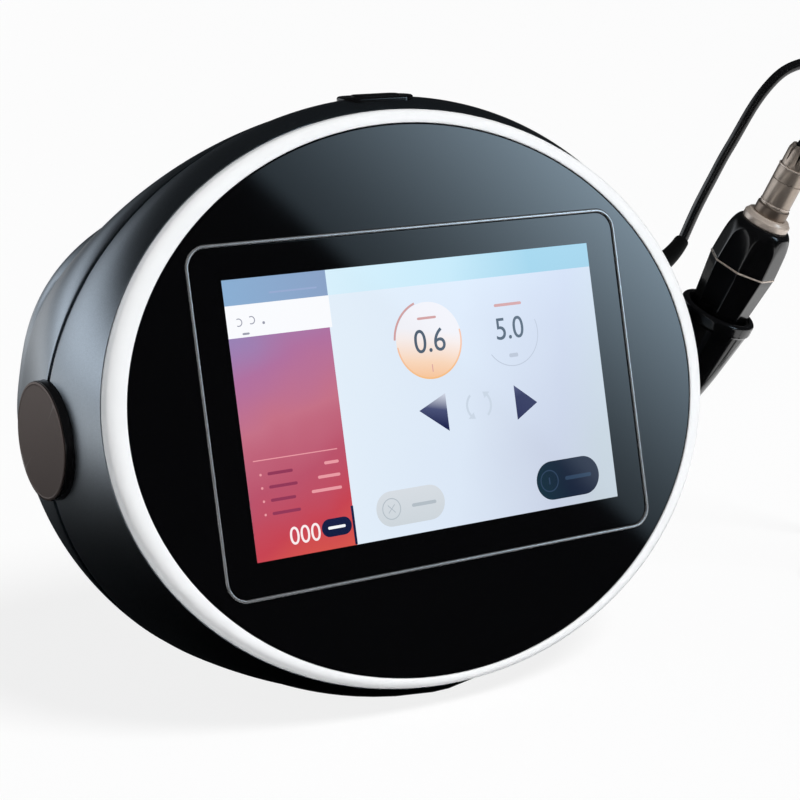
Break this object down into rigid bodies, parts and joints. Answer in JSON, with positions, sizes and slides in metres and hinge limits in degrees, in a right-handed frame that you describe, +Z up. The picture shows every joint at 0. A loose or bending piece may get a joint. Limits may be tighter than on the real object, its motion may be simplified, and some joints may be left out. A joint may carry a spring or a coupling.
{
  "type": "focused ultrasound facelift machine",
  "caption": "Tabletop skin-care machine: leaning drum housing with an oval touch-screen face, side holder cup and a corded ultrasound handpiece that stands in it.",
  "frame": {"origin": "middle of the rubber base pad's underside, below the parting line of the two housing shells", "axes": "+Z up, +X to the right of someone facing the screen (towards the holder), +Y to the back"},
  "size_m": [0.4421, 0.2032, 0.2564],
  "materials": {
    "ring_white": "white gloss plastic",
    "face_black": "black high gloss plastic",
    "trim_silver": "satin anodised aluminium",
    "screen_glass": "clear cover glass",
    "display": "lit display panel",
    "shell_paint": "satin metallic blue-grey paint on plastic",
    "satin_black": "fine textured black plastic",
    "gloss_black": "gloss black plastic",
    "rubber_black": "soft black rubber",
    "bronze": "satin bronze anodised aluminium",
    "sheet_steel": "zinc plated sheet",
    "aluminium": "machined aluminium",
    "brass": "turned brass",
    "board": "circuit board with solder mask",
    "screw_steel": "blackened steel",
    "contact": "nickel plated contact",
    "cable_jacket": "smooth polyurethane jacket",
    "champagne": "satin champagne aluminium",
    "pale_champagne": "polished pale champagne aluminium",
    "cartridge_white": "white gloss plastic",
    "membrane": "translucent polymer film",
    "ceramic": "silvered piezo ceramic"
  },
  "bodies": {
    "root": {"face_ring": "ring_white", "face_plate": "face_black", "panel_trim": "trim_silver", "touch_glass": "screen_glass", "lcd_module": "display", "lcd_bracket": "sheet_steel", "front_shell": "shell_paint", "rear_shell": "shell_paint", "rear_panel": "satin_black", "base_pad": "rubber_black", "button_bezel": "gloss_black", "button_switch": "satin_black", "left_hub_ring": "gloss_black", "left_hub_cap": "bronze", "right_hub_ring": "gloss_black", "holder_arm": "satin_black", "holder_cup": "satin_black", "holder_liner": "rubber_black", "chassis_plate": "sheet_steel", "board_standoffs": "brass", "main_board": "board", "speaker": "satin_black", "driver_board": "board", "heat_sink": "aluminium", "power_supply": "sheet_steel", "board_screws": "contact", "shell_screws": "screw_steel", "panel_screws": "screw_steel", "fan_frame": "satin_black", "fan_grille": "screw_steel", "power_inlet": "satin_black", "inlet_pins": "contact", "footswitch_socket": "screw_steel", "handpiece_socket": "satin_black", "cable_plug": "satin_black", "cable_boot": "rubber_black", "cable_machine_run": "cable_jacket", "cable_coil": "cable_jacket", "coil_tie": "satin_black"},
    "power_button": {"power_button": "satin_black"},
    "rocker": {"rocker_switch": "gloss_black"},
    "fan": {"fan_rotor": "satin_black"},
    "fuse_drawer": {"fuse_drawer": "satin_black"},
    "handpiece": {"cable_handpiece_run": "cable_jacket", "handpiece_boot": "rubber_black", "collet_nut": "champagne", "neck_sleeve": "champagne", "sleeve_bands": "pale_champagne", "neck_ring": "pale_champagne", "shoulder": "gloss_black", "accent_line": "pale_champagne", "grip": "satin_black", "drive_motor": "aluminium"},
    "cartridge": {"cartridge_body": "cartridge_white", "piezo_bowl": "ceramic", "cartridge_membrane": "membrane"},
    "trigger": {"trigger_button": "champagne"}
  },
  "joints": [
    {"name": "power_button_press", "type": "slide", "parent": "root", "child": "power_button", "axis": [0, 0, -1], "range_m": [0, 0.0015], "stiffness_N_per_m": 400, "springref_m": -0.001},
    {"name": "rocker_tip", "type": "hinge", "parent": "root", "child": "rocker", "pos_m": [0.019, 0.07968, 0.10059], "axis": [1, 0, 0], "range_deg": [0, 16]},
    {"name": "fan_spin", "type": "hinge", "parent": "root", "child": "fan", "pos_m": [-0.056, 0.06296, 0.12835], "axis": [0, 0.9272, 0.3746], "continuous": true},
    {"name": "fuse_drawer_slide", "type": "slide", "parent": "root", "child": "fuse_drawer", "axis": [0, 0.9272, 0.3746], "range_m": [0, 0.01]},
    {"name": "handpiece_lift", "type": "slide", "parent": "root", "child": "handpiece", "axis": [0.2243, -0.3746, 0.8996], "range_m": [0, 0.06]},
    {"name": "cartridge_twist", "type": "hinge", "parent": "handpiece", "child": "cartridge", "pos_m": [0.177, 0, 0.1144], "axis": [0.2243, -0.3746, 0.8996], "range_deg": [0, 30]},
    {"name": "trigger_press", "type": "slide", "parent": "handpiece", "child": "trigger", "axis": [-0.455, -0.8566, -0.2432], "range_m": [0, 0.0012], "stiffness_N_per_m": 500, "springref_m": -0.0008}
  ]
}
